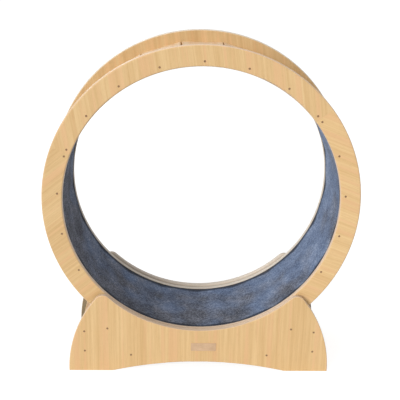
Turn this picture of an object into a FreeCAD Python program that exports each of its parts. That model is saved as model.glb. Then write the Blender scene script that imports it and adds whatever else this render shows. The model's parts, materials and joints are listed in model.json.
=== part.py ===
import FreeCAD, Part

# Cat exercise wheel: two plywood rings joined by flat planks, carpeted inside,
# turning on four flanged rollers between two base panels.
# Frame: +X right, +Y to the back, +Z up, origin on the floor under the wheel's centre.

import math
import os

import Sketcher
from FreeCAD import Placement, Rotation, Vector

SIZES = (
    ("wheel_radius", 500, "outer radius of both rings"),
    ("wheel_width", 320, "wheel over the outer faces of its rings"),
    ("floor_gap", 81, "from the floor to the wheel's rim"),
    ("ring_band", 65, "radial width of a ring"),
    ("ring_thickness", 18, "plywood of the rings"),
    ("ring_round", 5, "rounding of the rings' edges"),
    ("arc_count", 3, "arcs in each ring"),
    ("arc_gap", 0.1, "joint between the ends of two arcs"),
    ("plank_count", 21, "planks round the track"),
    ("plank_thickness", 18, "timber of the planks"),
    ("plank_gap", 0.4, "joint between two planks at their inner edges"),
    ("timber_chamfer", 1.2, "chamfer along the edges of planks and rails"),
    ("screw_inset", 49, "from the wheel's rim to its circle of screws"),
    ("joint_screw_reach", 11.4, "from an arc joint to the screw on each side"),
    ("carpet_thickness", 6.2, "backing and pile of the runner"),
    ("carpet_gap", 0.3, "glue line between the runner and the planks"),
    ("carpet_side_gap", 0.5, "runner's edge to the ring beside it"),
    ("seam_gap", 0.8, "between the runner's two ends"),
    ("head_radius", 3.5, "countersunk head of every screw"),
    ("shank_radius", 2, "shank of every screw"),
    ("drive_radius", 1.4, "hexagon socket in a screw's head, to its corners"),
    ("drive_depth", 1.1, "depth of that socket"),
    ("tip_length", 3, "tapered tip of a screw"),
    ("fit_gap", 0.05, "radial clearance of screws, bearings and tyres"),
    ("pilot_spare", 2, "depth of a pilot hole past the screw's tip"),
    ("ring_screw_bite", 32, "length of a ring screw inside a plank"),
    ("panel_screw_bite", 32, "length of a panel screw inside a rail"),
    ("axle_screw_bite", 22, "length of an axle screw inside an axle"),
    ("panel_gap", 7, "between the wheel and each base panel"),
    ("panel_thickness", 15, "plywood of the base panels"),
    ("panel_round", 3, "rounding of the panels' edges"),
    ("base_inset", 69, "feet's outer corners inside the wheel's rim"),
    ("panel_side_radius", 420, "curve of the panels' sides"),
    ("panel_rise", 4.5, "panel's top edge above the ring's inner edge"),
    ("horn_radius", 28, "rounding of the panels' two horns"),
    ("foot_inner", 280, "inner end of each foot, from the middle"),
    ("arch_rise", 33, "height of the arch between the feet"),
    ("board_thickness", 18, "timber of the end boards"),
    ("board_height", 112, "height of the end boards"),
    ("board_floor_gap", 54, "below the end boards"),
    ("board_inset", 54, "end board's middle from the panel's foot corner"),
    ("board_screw_inset", 20, "board's screws from its top and bottom edges"),
    ("stretcher_width", 44, "width of the low stretchers"),
    ("stretcher_thickness", 28, "height of the low stretchers"),
    ("stretcher_reach", 225, "stretcher's middle from the middle of the base"),
    ("stretcher_height", 59, "stretcher's middle above the floor"),
    ("plate_width", 83, "nameplate"),
    ("plate_height", 29, "nameplate"),
    ("plate_thickness", 1.5, "nameplate"),
    ("plate_corner", 2.5, "rounded corners of the nameplate"),
    ("plate_bevel", 0.5, "bevel round the nameplate's face"),
    ("plate_centre", 90, "nameplate's middle above the floor"),
    ("plate_shift", 14, "nameplate's middle to the right of the base's"),
    ("roller_radius", 20, "tread of a roller"),
    ("roller_angle", 35.4, "roller from the wheel's lowest point, in degrees"),
    ("running_gap", 0.3, "between the rings' rims and the rollers' treads"),
    ("tyre_thickness", 4, "polyurethane on a roller"),
    ("tyre_chamfer", 0.8, "chamfer of the tyre's edges"),
    ("flange_rise", 7, "flange over the tread"),
    ("flange_thickness", 3.5, "flange at each side of a roller"),
    ("flange_gap", 0.5, "between a flange and the ring's face"),
    ("flange_round", 0.8, "rounding of the flanges' rims"),
    ("axle_radius", 4, "steel axle"),
    ("axle_socket", 8, "depth of the axle's blind hole in a panel"),
    ("bearing_radius", 11, "outside of a ball bearing"),
    ("bearing_width", 7, "width of a ball bearing"),
    ("race_radius", 6.2, "outside of a bearing's inner ring"),
    ("sleeve_radius", 6, "outside of the sleeves and tubes on an axle"),
    ("hub_bore", 8, "bore of a hub between its two bearings"),
)

# Sizes worked out from the ones above, as expressions over the sheet.
RING_INNER = "(Sizes.wheel_radius - Sizes.ring_band)"
SCREW_CIRCLE = "(Sizes.wheel_radius - Sizes.screw_inset)"
WHEEL_CENTRE = "(Sizes.wheel_radius + Sizes.floor_gap)"
PLANK_LENGTH = "(Sizes.wheel_width - 2 * Sizes.ring_thickness)"
PLANK_INNER = f"({SCREW_CIRCLE} - Sizes.plank_thickness / 2)"
PLANK_HALF_PITCH = "(180 / Sizes.plank_count * 1deg)"
PLANK_WIDTH = f"(2 * {PLANK_INNER} * tan{PLANK_HALF_PITCH} - Sizes.plank_gap)"
CARPET_OUTER = f"({PLANK_INNER} - Sizes.carpet_gap)"
CARPET_INNER = f"({CARPET_OUTER} - Sizes.carpet_thickness)"
CARPET_WIDTH = f"({PLANK_LENGTH} - 2 * Sizes.carpet_side_gap)"
HALF_GAP_ANGLE = f"(atan(Sizes.arc_gap / 2 / {SCREW_CIRCLE}))"
ARC_HALF_ANGLE = f"(180 / Sizes.arc_count * 1deg - {HALF_GAP_ANGLE})"
PANEL_INSIDE = "(Sizes.wheel_width / 2 + Sizes.panel_gap)"
PANEL_OUTSIDE = f"({PANEL_INSIDE} + Sizes.panel_thickness)"
PANEL_TOP_RADIUS = f"({RING_INNER} - Sizes.panel_rise)"
PANEL_HALF_WIDTH = "(Sizes.wheel_radius - Sizes.base_inset)"
SIDE_CENTRE = f"({PANEL_HALF_WIDTH} - Sizes.panel_side_radius)"
ARCH_RADIUS = "((Sizes.foot_inner ^ 2 + Sizes.arch_rise ^ 2) / 2 / Sizes.arch_rise)"
RAIL_LENGTH = f"(2 * {PANEL_INSIDE})"
BOARD_X = f"({PANEL_HALF_WIDTH} - Sizes.board_inset)"
BOARD_MIDDLE = "(Sizes.board_floor_gap + Sizes.board_height / 2)"
BOARD_SCREW_REACH = "(Sizes.board_height / 2 - Sizes.board_screw_inset)"
AXLE_DISTANCE = "(Sizes.wheel_radius + Sizes.running_gap + Sizes.roller_radius)"
AXLE_X = f"({AXLE_DISTANCE} * sin(Sizes.roller_angle * 1deg))"
AXLE_HEIGHT = f"({WHEEL_CENTRE} - {AXLE_DISTANCE} * cos(Sizes.roller_angle * 1deg))"
AXLE_LENGTH = f"({RAIL_LENGTH} + 2 * Sizes.axle_socket)"
ROLLER_Y = "(Sizes.wheel_width / 2 - Sizes.ring_thickness / 2)"
GROOVE_HALF = "(Sizes.ring_thickness / 2 + Sizes.flange_gap)"
HUB_HALF = f"({GROOVE_HALF} + Sizes.flange_thickness)"
HUB_CORE = "(Sizes.roller_radius - Sizes.tyre_thickness)"
FLANGE_RADIUS = "(Sizes.roller_radius + Sizes.flange_rise)"
POCKET_RADIUS = "(Sizes.bearing_radius + Sizes.fit_gap)"
POCKET_FLOOR = f"({HUB_HALF} - Sizes.bearing_width)"
AXLE_BORE = "(Sizes.axle_radius + Sizes.fit_gap)"
PILOT_RADIUS = "(Sizes.shank_radius + Sizes.fit_gap)"
SINK_RADIUS = "(Sizes.head_radius + Sizes.fit_gap)"

CUT_SPARE = 1  # how far a cutting solid runs past what it cuts

UP = Vector(0, 0, 1)
ACROSS = Vector(0, 1, 0)
STEEP = Vector(1, 0, 0)
FRONT = Rotation(STEEP, 90)
REAR = Rotation(UP, 180).multiply(FRONT)
SIDES = (("left", -1), ("right", 1))
ENDS = (("front", -1, FRONT), ("rear", 1, REAR))

doc = FreeCAD.newDocument("CatExerciseWheel")
sizes = doc.addObject("Spreadsheet::Sheet", "Sizes")
nodes = []


def fill_sheet():
    for row, (name, number, note) in enumerate(SIZES, 1):
        sizes.set(f"A{row}", note)
        sizes.set(f"B{row}", str(number))
        sizes.setAlias(f"B{row}", name)
    doc.recompute()


def value(expression):
    """The number that an expression over the sheet gives now."""
    result = sizes.evalExpression(expression)
    return float(getattr(result, "Value", result))


def node(feature, label):
    """Marks a document object as one of the object's own pieces."""
    feature.Label = label
    nodes.append(feature)
    return feature


def seat(feature, rotation=Rotation(), x="0", y="0", z="0"):
    """Turns a piece, and ties its place to the sheet."""
    feature.Placement = Placement(Vector(value(x), value(y), value(z)), rotation)
    for axis, expression in (("x", x), ("y", y), ("z", z)):
        feature.setExpression(f"Placement.Base.{axis}", expression)
    return feature


def body(name):
    return doc.addObject("PartDesign::Body", name)


def plane(owner, role="XY_Plane"):
    return next(item for item in owner.Origin.OriginFeatures if item.Role == role)


def sketch_on(owner, name, role="XY_Plane", offset="0"):
    """A sketch on one of the body's own planes, raised by an offset."""
    sketch = owner.newObject("Sketcher::SketchObject", name)
    sketch.AttachmentSupport = (plane(owner, role), "")
    sketch.MapMode = "FlatFace"
    sketch.AttachmentOffset = Placement(Vector(0, 0, value(offset)), Rotation())
    sketch.setExpression("AttachmentOffset.Base.z", offset)
    return sketch


def bind(sketch, kind, places, expression):
    """Adds one dimension to a sketch and ties it to the sheet."""
    index = sketch.addConstraint(Sketcher.Constraint(kind, *places, value(expression)))
    sketch.setExpression(f"Constraints[{index}]", expression)


def pin_point(sketch, item, point, x, y):
    bind(sketch, "DistanceX", (-1, 1, item, point), x)
    bind(sketch, "DistanceY", (-1, 1, item, point), y)


def add_polygon(sketch, corners):
    """A closed outline of straight lines, each corner tied to the sheet."""
    points = [Vector(value(x), value(y), 0) for x, y in corners]
    first = sketch.GeometryCount
    count = len(corners)
    for index in range(count):
        line = Part.LineSegment(points[index], points[(index + 1) % count])
        sketch.addGeometry(line)
    for index in range(count):
        following = first + (index + 1) % count
        sketch.addConstraint(Sketcher.Constraint("Coincident", first + index, 2, following, 1))
    for index, (x, y) in enumerate(corners):
        pin_point(sketch, first + index, 1, x, y)


def add_rectangle(sketch, left, bottom, right, top):
    add_polygon(sketch, ((left, bottom), (right, bottom), (right, top), (left, top)))


def add_circle(sketch, x, y, radius):
    circle = Part.Circle(Vector(value(x), value(y), 0), UP, value(radius))
    item = sketch.addGeometry(circle)
    bind(sketch, "Radius", (item,), radius)
    pin_point(sketch, item, 3, x, y)


def pad(owner, sketch, length, midplane=False):
    feature = owner.newObject("PartDesign::Pad", f"{sketch.Name}Pad")
    feature.Profile = sketch
    feature.Midplane = midplane
    feature.setExpression("Length", length)
    return feature


def pocket(owner, sketch, depth, reversed_cut=False):
    """Cuts a sketch's outline down to a depth, and makes sure that it cut."""
    doc.recompute()
    before = owner.Shape.Volume
    feature = owner.newObject("PartDesign::Pocket", f"{sketch.Name}Pocket")
    feature.Profile = sketch
    feature.Reversed = reversed_cut
    feature.setExpression("Length", depth)
    doc.recompute()
    if owner.Shape.Volume >= before:
        raise RuntimeError(f"{feature.Name} cut nothing")
    return feature


def screw_holes(owner, name, spots, face):
    """Countersunk clearance holes that go down from a face through the piece."""
    sketch = sketch_on(owner, name, offset=face)
    for x, y in spots:
        add_circle(sketch, x, y, PILOT_RADIUS)
    doc.recompute()
    feature = owner.newObject("PartDesign::Hole", f"{name}Hole")
    feature.Profile = sketch
    feature.DepthType = "ThroughAll"
    feature.HoleCutType = "Countersink"
    feature.HoleCutCustomValues = True
    feature.HoleCutCountersinkAngle = 90
    feature.setExpression("Diameter", f"2 * {PILOT_RADIUS}")
    feature.setExpression("HoleCutDiameter", f"2 * {SINK_RADIUS}")
    doc.recompute()
    return feature


def round_edges(owner, base, radius, wanted, kind="Fillet"):
    """Rounds or chamfers the edges of a feature that a test picks."""
    doc.recompute()
    edges = base.Shape.Edges
    names = [f"Edge{index}" for index, edge in enumerate(edges, 1) if wanted(edge)]
    feature = owner.newObject(f"PartDesign::{kind}", f"{base.Name}{kind}")
    feature.Base = (base, names)
    size_name = "Radius" if kind == "Fillet" else "Size"
    feature.setExpression(size_name, radius)
    doc.recompute()
    return feature


def drill_both_ends(owner, drilled):
    """Repeats a pocket in a piece's top end at its bottom end."""
    mirrored = owner.newObject("PartDesign::Mirrored", f"{drilled.Name}Mirrored")
    mirrored.Originals = [drilled]
    mirrored.MirrorPlane = (plane(owner), [""])
    owner.Tip = mirrored
    return owner


def stands(edge):
    """True for an edge that rises from the sketch plane."""
    return not math.isclose(edge.Vertexes[0].Z, edge.Vertexes[-1].Z, abs_tol=1e-4)


def is_arc_of(edge, radius):
    return isinstance(edge.Curve, Part.Circle) and math.isclose(
        edge.Curve.Radius, radius, abs_tol=1e-4
    )


def lies_at(edge, height):
    return all(math.isclose(vertex.Z, height, abs_tol=1e-4) for vertex in edge.Vertexes)


def turned(angle, facing):
    """A piece drawn facing up, turned clockwise about the wheel's axle."""
    return Rotation(ACROSS, angle).multiply(facing)


def station_angle(index):
    """Clockwise angle of a plank from the top of the wheel, in degrees."""
    return index * 360 / value("Sizes.plank_count")


# ---------------------------------------------------------------- wheel


def planks_per_arc():
    return round(value("Sizes.plank_count / Sizes.arc_count"))


def first_joint():
    """The station of the first arc joint clockwise from the top."""
    return planks_per_arc() // 2


def arc_screw_spots():
    """Screws along an arc that is centred on the sketch's vertical."""
    spots = []
    for index in range(1, planks_per_arc()):
        angle = f"({index} * 360 / Sizes.plank_count * 1deg - 180 / Sizes.arc_count * 1deg)"
        spots.append((f"{SCREW_CIRCLE} * sin{angle}", f"{SCREW_CIRCLE} * cos{angle}"))
    end = "(180 / Sizes.arc_count * 1deg)"
    across = f"({SCREW_CIRCLE} * sin{end} - Sizes.joint_screw_reach * cos{end})"
    along = f"{SCREW_CIRCLE} * cos{end} + Sizes.joint_screw_reach * sin{end}"
    for sign in ("-1", "1"):
        spots.append((f"{sign} * {across}", along))
    return spots


def make_ring_arc(name, label, angle, side, facing):
    """One plywood arc, its screws sunk into the wheel's outer face."""
    arc = body(name)
    sketch = sketch_on(arc, f"{name}Outline")
    half = math.radians(value(ARC_HALF_ANGLE))
    middle = math.pi / 2
    rims = []
    for radius in (f"{RING_INNER}", "Sizes.wheel_radius"):
        circle = Part.Circle(Vector(), UP, value(radius))
        rim = sketch.addGeometry(Part.ArcOfCircle(circle, middle - half, middle + half))
        sketch.addConstraint(Sketcher.Constraint("Coincident", -1, 1, rim, 3))
        bind(sketch, "Radius", (rim,), radius)
        rims.append(sketch.Geometry[rim])
    for point, sign in ((1, "1"), (2, "-1")):
        name_of_end = "StartPoint" if point == 1 else "EndPoint"
        line = sketch.addGeometry(Part.LineSegment(*(getattr(rim, name_of_end) for rim in rims)))
        sketch.addConstraint(Sketcher.Constraint("Coincident", 0, point, line, 1))
        sketch.addConstraint(Sketcher.Constraint("Coincident", 1, point, line, 2))
        end_x = f"{sign} * Sizes.wheel_radius * sin{ARC_HALF_ANGLE}"
        bind(sketch, "DistanceX", (-1, 1, line, 2), end_x)
        sketch.addConstraint(Sketcher.Constraint("PointOnObject", -1, 1, line))
    blank = pad(arc, sketch, "Sizes.ring_thickness")
    radii = (value(RING_INNER), value("Sizes.wheel_radius"))
    round_edges(
        arc, blank, "Sizes.ring_round", lambda edge: any(is_arc_of(edge, radius) for radius in radii)
    )
    screw_holes(arc, f"{name}Screws", arc_screw_spots(), "Sizes.ring_thickness")
    seat(
        arc,
        turned(angle, facing),
        y=f"{side} * (Sizes.wheel_width / 2 - Sizes.ring_thickness)",
        z=WHEEL_CENTRE,
    )
    return node(arc, label)


def make_board(name, width, thickness, length, spots, bite, is_bevelled):
    """A timber drawn flat along its own Z, with pilot holes in both ends."""
    board = body(name)
    sketch = sketch_on(board, f"{name}Section")
    add_rectangle(
        sketch, f"-{width} / 2", f"-{thickness} / 2", f"{width} / 2", f"{thickness} / 2"
    )
    blank = pad(board, sketch, length, midplane=True)
    round_edges(board, blank, "Sizes.timber_chamfer", is_bevelled, "Chamfer")
    holes = sketch_on(board, f"{name}Pilots", offset=f"{length} / 2")
    for x, y in spots:
        add_circle(holes, x, y, PILOT_RADIUS)
    return drill_both_ends(board, pocket(board, holes, f"{bite} + Sizes.pilot_spare"))


def is_joint(station):
    return station % planks_per_arc() == first_joint()


def plank_screw_reaches(station):
    """A pair of screws where two arcs meet on a plank, and one screw elsewhere."""
    if is_joint(station):
        return "-Sizes.joint_screw_reach", "Sizes.joint_screw_reach"
    return ("0",)


def make_plank(station):
    name = f"Plank{station + 1:02d}"
    spots = [(reach, "0") for reach in plank_screw_reaches(station)]
    plank = make_board(
        name,
        PLANK_WIDTH,
        "Sizes.plank_thickness",
        PLANK_LENGTH,
        spots,
        "Sizes.ring_screw_bite",
        lambda edge: stands(edge) and edge.Vertexes[0].Y > 0,
    )
    turn = f"({station} * 360 / Sizes.plank_count * 1deg)"
    seat(
        plank,
        turned(station_angle(station), FRONT),
        x=f"{SCREW_CIRCLE} * sin{turn}",
        z=f"{WHEEL_CENTRE} + {SCREW_CIRCLE} * cos{turn}",
    )
    return node(plank, f"track_plank_{station + 1:02d}")


def make_carpet_prism(name, apothem, width):
    """A solid prism with one flat side per plank."""
    outline = doc.addObject("Part::RegularPolygon", f"{name}Outline")
    outline.setExpression("Polygon", "Sizes.plank_count")
    outline.setExpression("Circumradius", f"{apothem} / cos{PLANK_HALF_PITCH}")
    prism = doc.addObject("Part::Extrusion", name)
    prism.Base = outline
    prism.DirMode = "Custom"
    prism.Dir = UP
    prism.Solid = True
    prism.Symmetric = True
    prism.setExpression("LengthFwd", width)
    return prism


def make_carpet():
    """The runner follows the planks' flats, and its ends meet at one plank joint."""
    band = doc.addObject("Part::Cut", "CarpetBand")
    band.Base = make_carpet_prism("CarpetOutside", CARPET_OUTER, CARPET_WIDTH)
    band.Tool = make_carpet_prism("CarpetInside", CARPET_INNER, f"({CARPET_WIDTH} + 2 * {CUT_SPARE})")
    seam = doc.addObject("Part::Box", "CarpetSeam")
    seam.setExpression("Length", "Sizes.wheel_radius")
    seam.setExpression("Width", "Sizes.seam_gap")
    seam.setExpression("Height", f"{CARPET_WIDTH} + 2 * {CUT_SPARE}")
    seat(seam, y="-Sizes.seam_gap / 2", z=f"-{CARPET_WIDTH} / 2 - {CUT_SPARE}")
    carpet = doc.addObject("Part::Cut", "Carpet")
    carpet.Base = band
    carpet.Tool = seam
    seam_angle = station_angle(-0.5)
    turn = Rotation(UP, 90 - seam_angle)
    seat(carpet, FRONT.multiply(turn), z=WHEEL_CENTRE)
    return node(carpet, "carpet_runner")


# --------------------------------------------------------------- screws


def make_screw(name, length):
    """One countersunk screw, its head's face on the XY plane and its tip at -Z."""
    screw = body(name)
    profile = sketch_on(screw, f"{name}Profile", "XZ_Plane")
    cone = "(Sizes.head_radius - Sizes.shank_radius)"
    add_polygon(
        profile,
        (
            ("0", "0"),
            ("Sizes.head_radius", "0"),
            ("Sizes.shank_radius", f"-{cone}"),
            ("Sizes.shank_radius", f"-({length} - Sizes.tip_length)"),
            ("Sizes.shank_radius / 4", f"-{length}"),
            ("0", f"-{length}"),
        ),
    )
    turning = screw.newObject("PartDesign::Revolution", f"{name}Turning")
    turning.Profile = profile
    turning.ReferenceAxis = (profile, ["V_Axis"])
    turning.Angle = 360
    drive = sketch_on(screw, f"{name}Drive")
    corners = []
    for index in range(6):
        corner = f"({index} * 60deg)"
        corners.append((f"Sizes.drive_radius * cos{corner}", f"Sizes.drive_radius * sin{corner}"))
    add_polygon(drive, corners)
    pocket(screw, drive, "Sizes.drive_depth")
    return screw


def make_screw_group(name, label, screw, spots):
    """Links of one screw, gathered into one piece group."""
    links = []
    for index, (rotation, place) in enumerate(spots):
        link = doc.addObject("App::Link", f"{name}{index + 1:02d}")
        link.LinkedObject = screw
        seat(link, rotation, *place)
        links.append(link)
    group = doc.addObject("Part::Compound", name)
    group.Links = links
    return node(group, label)


def ring_screw_spots(side, facing):
    """Where the screws of one ring sit, and which way they face."""
    spots = []
    for station in range(round(value("Sizes.plank_count"))):
        turn = f"({station} * 360 / Sizes.plank_count * 1deg)"
        for reach in plank_screw_reaches(station):
            x = f"{SCREW_CIRCLE} * sin{turn} + {reach} * cos{turn}"
            z = f"{WHEEL_CENTRE} + {SCREW_CIRCLE} * cos{turn} - {reach} * sin{turn}"
            spots.append((facing, (x, f"{side} * Sizes.wheel_width / 2", z)))
    return spots


def panel_rail_spots():
    """Screw places of the rails on a panel, seen from outside."""
    spots = []
    for sign in ("-1", "1"):
        for reach in (f"-{BOARD_SCREW_REACH}", BOARD_SCREW_REACH):
            spots.append((f"{sign} * {BOARD_X}", f"{BOARD_MIDDLE} + {reach}"))
        spots.append((f"{sign} * Sizes.stretcher_reach", "Sizes.stretcher_height"))
    return spots


def axle_spots():
    return [(f"{sign} * {AXLE_X}", AXLE_HEIGHT) for sign in ("-1", "1")]


# ----------------------------------------------------------------- base


def make_panel(name, label, side, facing):
    """A base panel drawn upright on its feet, with its outer face up."""
    panel = body(name)
    outline = sketch_on(panel, f"{name}Outline")
    radius = value("Sizes.panel_side_radius")
    apex = math.acos(-value(SIDE_CENTRE) / radius)
    corner = Vector(value(PANEL_HALF_WIDTH), 0, 0)
    right_circle = Part.Circle(Vector(value(SIDE_CENTRE), 0, 0), UP, radius)
    left_circle = Part.Circle(Vector(-value(SIDE_CENTRE), 0, 0), UP, radius)
    right = outline.addGeometry(Part.ArcOfCircle(right_circle, 0, apex))
    left = outline.addGeometry(Part.ArcOfCircle(left_circle, math.pi - apex, math.pi))
    floor = outline.addGeometry(Part.LineSegment(-corner, corner))
    outline.addConstraint(Sketcher.Constraint("Coincident", right, 2, left, 1))
    outline.addConstraint(Sketcher.Constraint("Coincident", left, 2, floor, 1))
    outline.addConstraint(Sketcher.Constraint("Coincident", floor, 2, right, 1))
    bind(outline, "Radius", (right,), "Sizes.panel_side_radius")
    bind(outline, "Radius", (left,), "Sizes.panel_side_radius")
    pin_point(outline, floor, 1, f"-{PANEL_HALF_WIDTH}", "0")
    pin_point(outline, floor, 2, PANEL_HALF_WIDTH, "0")
    bind(outline, "DistanceY", (-1, 1, right, 3), "0")
    bind(outline, "DistanceY", (-1, 1, left, 3), "0")
    pad(panel, outline, "Sizes.panel_thickness")
    cradle = sketch_on(panel, f"{name}Cradle", offset="Sizes.panel_thickness")
    add_circle(cradle, "0", WHEEL_CENTRE, PANEL_TOP_RADIUS)
    pocket(panel, cradle, "Sizes.panel_thickness")
    arch = sketch_on(panel, f"{name}Arch", offset="Sizes.panel_thickness")
    add_circle(arch, "0", f"Sizes.arch_rise - {ARCH_RADIUS}", ARCH_RADIUS)
    shaped = pocket(panel, arch, "Sizes.panel_thickness")

    above_axles = value(AXLE_HEIGHT)
    horned = round_edges(
        panel,
        shaped,
        "Sizes.horn_radius",
        lambda edge: stands(edge) and edge.Vertexes[0].Y > above_axles,
    )

    def is_rim(edge):
        """Every edge of the two faces but the feet's straight ones."""
        level = lies_at(edge, 0) or lies_at(edge, value("Sizes.panel_thickness"))
        return level and not isinstance(edge.Curve, Part.Line)

    round_edges(panel, horned, "Sizes.panel_round", is_rim)
    sockets = sketch_on(panel, f"{name}Sockets")
    for x, height in axle_spots():
        add_circle(sockets, x, height, AXLE_BORE)
    pocket(panel, sockets, "Sizes.axle_socket", reversed_cut=True)
    screw_holes(panel, f"{name}Screws", panel_rail_spots() + axle_spots(), "Sizes.panel_thickness")
    seat(panel, facing, y=f"{side} * {PANEL_INSIDE}")
    return node(panel, label)


def make_rails():
    for word, sign in SIDES:
        spots = (("0", f"-{BOARD_SCREW_REACH}"), ("0", BOARD_SCREW_REACH))
        board = make_board(
            f"{word.title()}EndBoard",
            "Sizes.board_thickness",
            "Sizes.board_height",
            RAIL_LENGTH,
            spots,
            "Sizes.panel_screw_bite",
            stands,
        )
        seat(board, FRONT, x=f"{sign} * {BOARD_X}", z=BOARD_MIDDLE)
        node(board, f"{word}_end_board")
        stretcher = make_board(
            f"{word.title()}Stretcher",
            "Sizes.stretcher_width",
            "Sizes.stretcher_thickness",
            RAIL_LENGTH,
            (("0", "0"),),
            "Sizes.panel_screw_bite",
            stands,
        )
        seat(stretcher, FRONT, x=f"{sign} * Sizes.stretcher_reach", z="Sizes.stretcher_height")
        node(stretcher, f"{word}_stretcher")


def make_nameplate():
    """A bare metal plate on the front panel."""
    plate = body("Nameplate")
    sketch = sketch_on(plate, "NameplateOutline")
    half_width, half_height = "Sizes.plate_width / 2", "Sizes.plate_height / 2"
    add_rectangle(sketch, f"-{half_width}", f"-{half_height}", half_width, half_height)
    blank = pad(plate, sketch, "Sizes.plate_thickness")
    cornered = round_edges(plate, blank, "Sizes.plate_corner", stands)
    face = value("Sizes.plate_thickness")
    round_edges(plate, cornered, "Sizes.plate_bevel", lambda edge: lies_at(edge, face), "Chamfer")
    seat(plate, FRONT, x="Sizes.plate_shift", y=f"-{PANEL_OUTSIDE}", z="Sizes.plate_centre")
    return node(plate, "nameplate")


# -------------------------------------------------------------- rollers


def make_turned(name, outline):
    """A round piece turned about its own Z from a profile of radius and height."""
    piece = body(name)
    profile = sketch_on(piece, f"{name}Profile", "XZ_Plane")
    add_polygon(profile, outline)
    turning = piece.newObject("PartDesign::Revolution", f"{name}Turning")
    turning.Profile = profile
    turning.ReferenceAxis = (profile, ["V_Axis"])
    turning.Angle = 360
    return piece


def make_tube(name, inner, outer, length, x="0", y="0", z="0"):
    """A plain tube centred on a place, lying along the axle."""
    outside = doc.addObject("Part::Cylinder", f"{name}Outside")
    outside.setExpression("Radius", outer)
    outside.setExpression("Height", length)
    inside = doc.addObject("Part::Cylinder", f"{name}Inside")
    inside.setExpression("Radius", inner)
    inside.setExpression("Height", f"{length} + 2 * {CUT_SPARE}")
    seat(inside, z=f"-{CUT_SPARE}")
    tube = doc.addObject("Part::Cut", name)
    tube.Base = outside
    tube.Tool = inside
    return seat(tube, FRONT, x, f"{y} + {length} / 2", z)


def make_group(name, label, pieces):
    group = doc.addObject("Part::Compound", name)
    group.Links = pieces
    return node(group, label)


def hub_outline():
    return (
        (POCKET_RADIUS, f"-{HUB_HALF}"),
        (FLANGE_RADIUS, f"-{HUB_HALF}"),
        (FLANGE_RADIUS, f"-{GROOVE_HALF}"),
        (HUB_CORE, f"-{GROOVE_HALF}"),
        (HUB_CORE, GROOVE_HALF),
        (FLANGE_RADIUS, GROOVE_HALF),
        (FLANGE_RADIUS, HUB_HALF),
        (POCKET_RADIUS, HUB_HALF),
        (POCKET_RADIUS, POCKET_FLOOR),
        ("Sizes.hub_bore", POCKET_FLOOR),
        ("Sizes.hub_bore", f"-{POCKET_FLOOR}"),
        (POCKET_RADIUS, f"-{POCKET_FLOOR}"),
    )


def tyre_outline():
    inner = f"({HUB_CORE} + Sizes.fit_gap)"
    half = f"({GROOVE_HALF} - Sizes.fit_gap)"
    shoulder = "(Sizes.roller_radius - Sizes.tyre_chamfer)"
    return (
        (inner, f"-{half}"),
        (shoulder, f"-{half}"),
        ("Sizes.roller_radius", f"-({half} - Sizes.tyre_chamfer)"),
        ("Sizes.roller_radius", f"({half} - Sizes.tyre_chamfer)"),
        (shoulder, half),
        (inner, half),
    )


def make_roller(end, side, word, x):
    """One roller's turning parts: hub, tyre and the outer rings of two bearings."""
    name = f"{end.title()}{word.title()}"
    y = f"{side} * {ROLLER_Y}"
    hub = make_turned(f"{name}Hub", hub_outline())
    rim = value(FLANGE_RADIUS)
    round_edges(hub, hub.Tip, "Sizes.flange_round", lambda edge: is_arc_of(edge, rim))
    seat(hub, FRONT, x, y, AXLE_HEIGHT)
    node(hub, f"{end}_{word}_roller_hub")
    tyre = make_turned(f"{name}Tyre", tyre_outline())
    seat(tyre, FRONT, x, y, AXLE_HEIGHT)
    node(tyre, f"{end}_{word}_roller_tyre")
    rings = [
        make_tube(
            f"{name}OuterRing{mark}",
            "Sizes.race_radius + Sizes.fit_gap",
            "Sizes.bearing_radius",
            "Sizes.bearing_width",
            x,
            f"({y} {mark_sign} ({HUB_HALF} - Sizes.bearing_width / 2))",
            AXLE_HEIGHT,
        )
        for mark, mark_sign in (("A", "-"), ("B", "+"))
    ]
    make_group(f"{name}OuterRings", f"{end}_{word}_bearing_outer_rings", rings)


def make_axle(word, sign):
    """A steel axle and the tube that parts its two rollers."""
    x = f"{sign} * {AXLE_X}"
    axle = body(f"{word.title()}Axle")
    section = sketch_on(axle, f"{word.title()}AxleSection")
    add_circle(section, "0", "0", "Sizes.axle_radius")
    pad(axle, section, AXLE_LENGTH, midplane=True)
    holes = sketch_on(axle, f"{word.title()}AxleTapping", offset=f"{AXLE_LENGTH} / 2")
    add_circle(holes, "0", "0", PILOT_RADIUS)
    drill_both_ends(axle, pocket(axle, holes, "Sizes.axle_screw_bite + Sizes.pilot_spare"))
    seat(axle, FRONT, x=x, z=AXLE_HEIGHT)
    node(axle, f"{word}_axle")
    tube_length = f"(2 * ({ROLLER_Y} - {HUB_HALF}))"
    tube = make_tube(
        f"{word.title()}AxleTube", AXLE_BORE, "Sizes.sleeve_radius", tube_length, x=x, z=AXLE_HEIGHT
    )
    node(tube, f"{word}_axle_tube")
    return x


def make_inner_rings(word, x):
    rings = []
    for end, side, _ in ENDS:
        for mark, mark_sign in (("A", "-"), ("B", "+")):
            y = f"({side} * {ROLLER_Y} {mark_sign} ({HUB_HALF} - Sizes.bearing_width / 2))"
            name = f"{end.title()}{word.title()}InnerRing{mark}"
            rings.append(
                make_tube(name, AXLE_BORE, "Sizes.race_radius", "Sizes.bearing_width", x, y, AXLE_HEIGHT)
            )
    make_group(f"{word.title()}InnerRings", f"{word}_bearing_inner_rings", rings)


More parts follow.
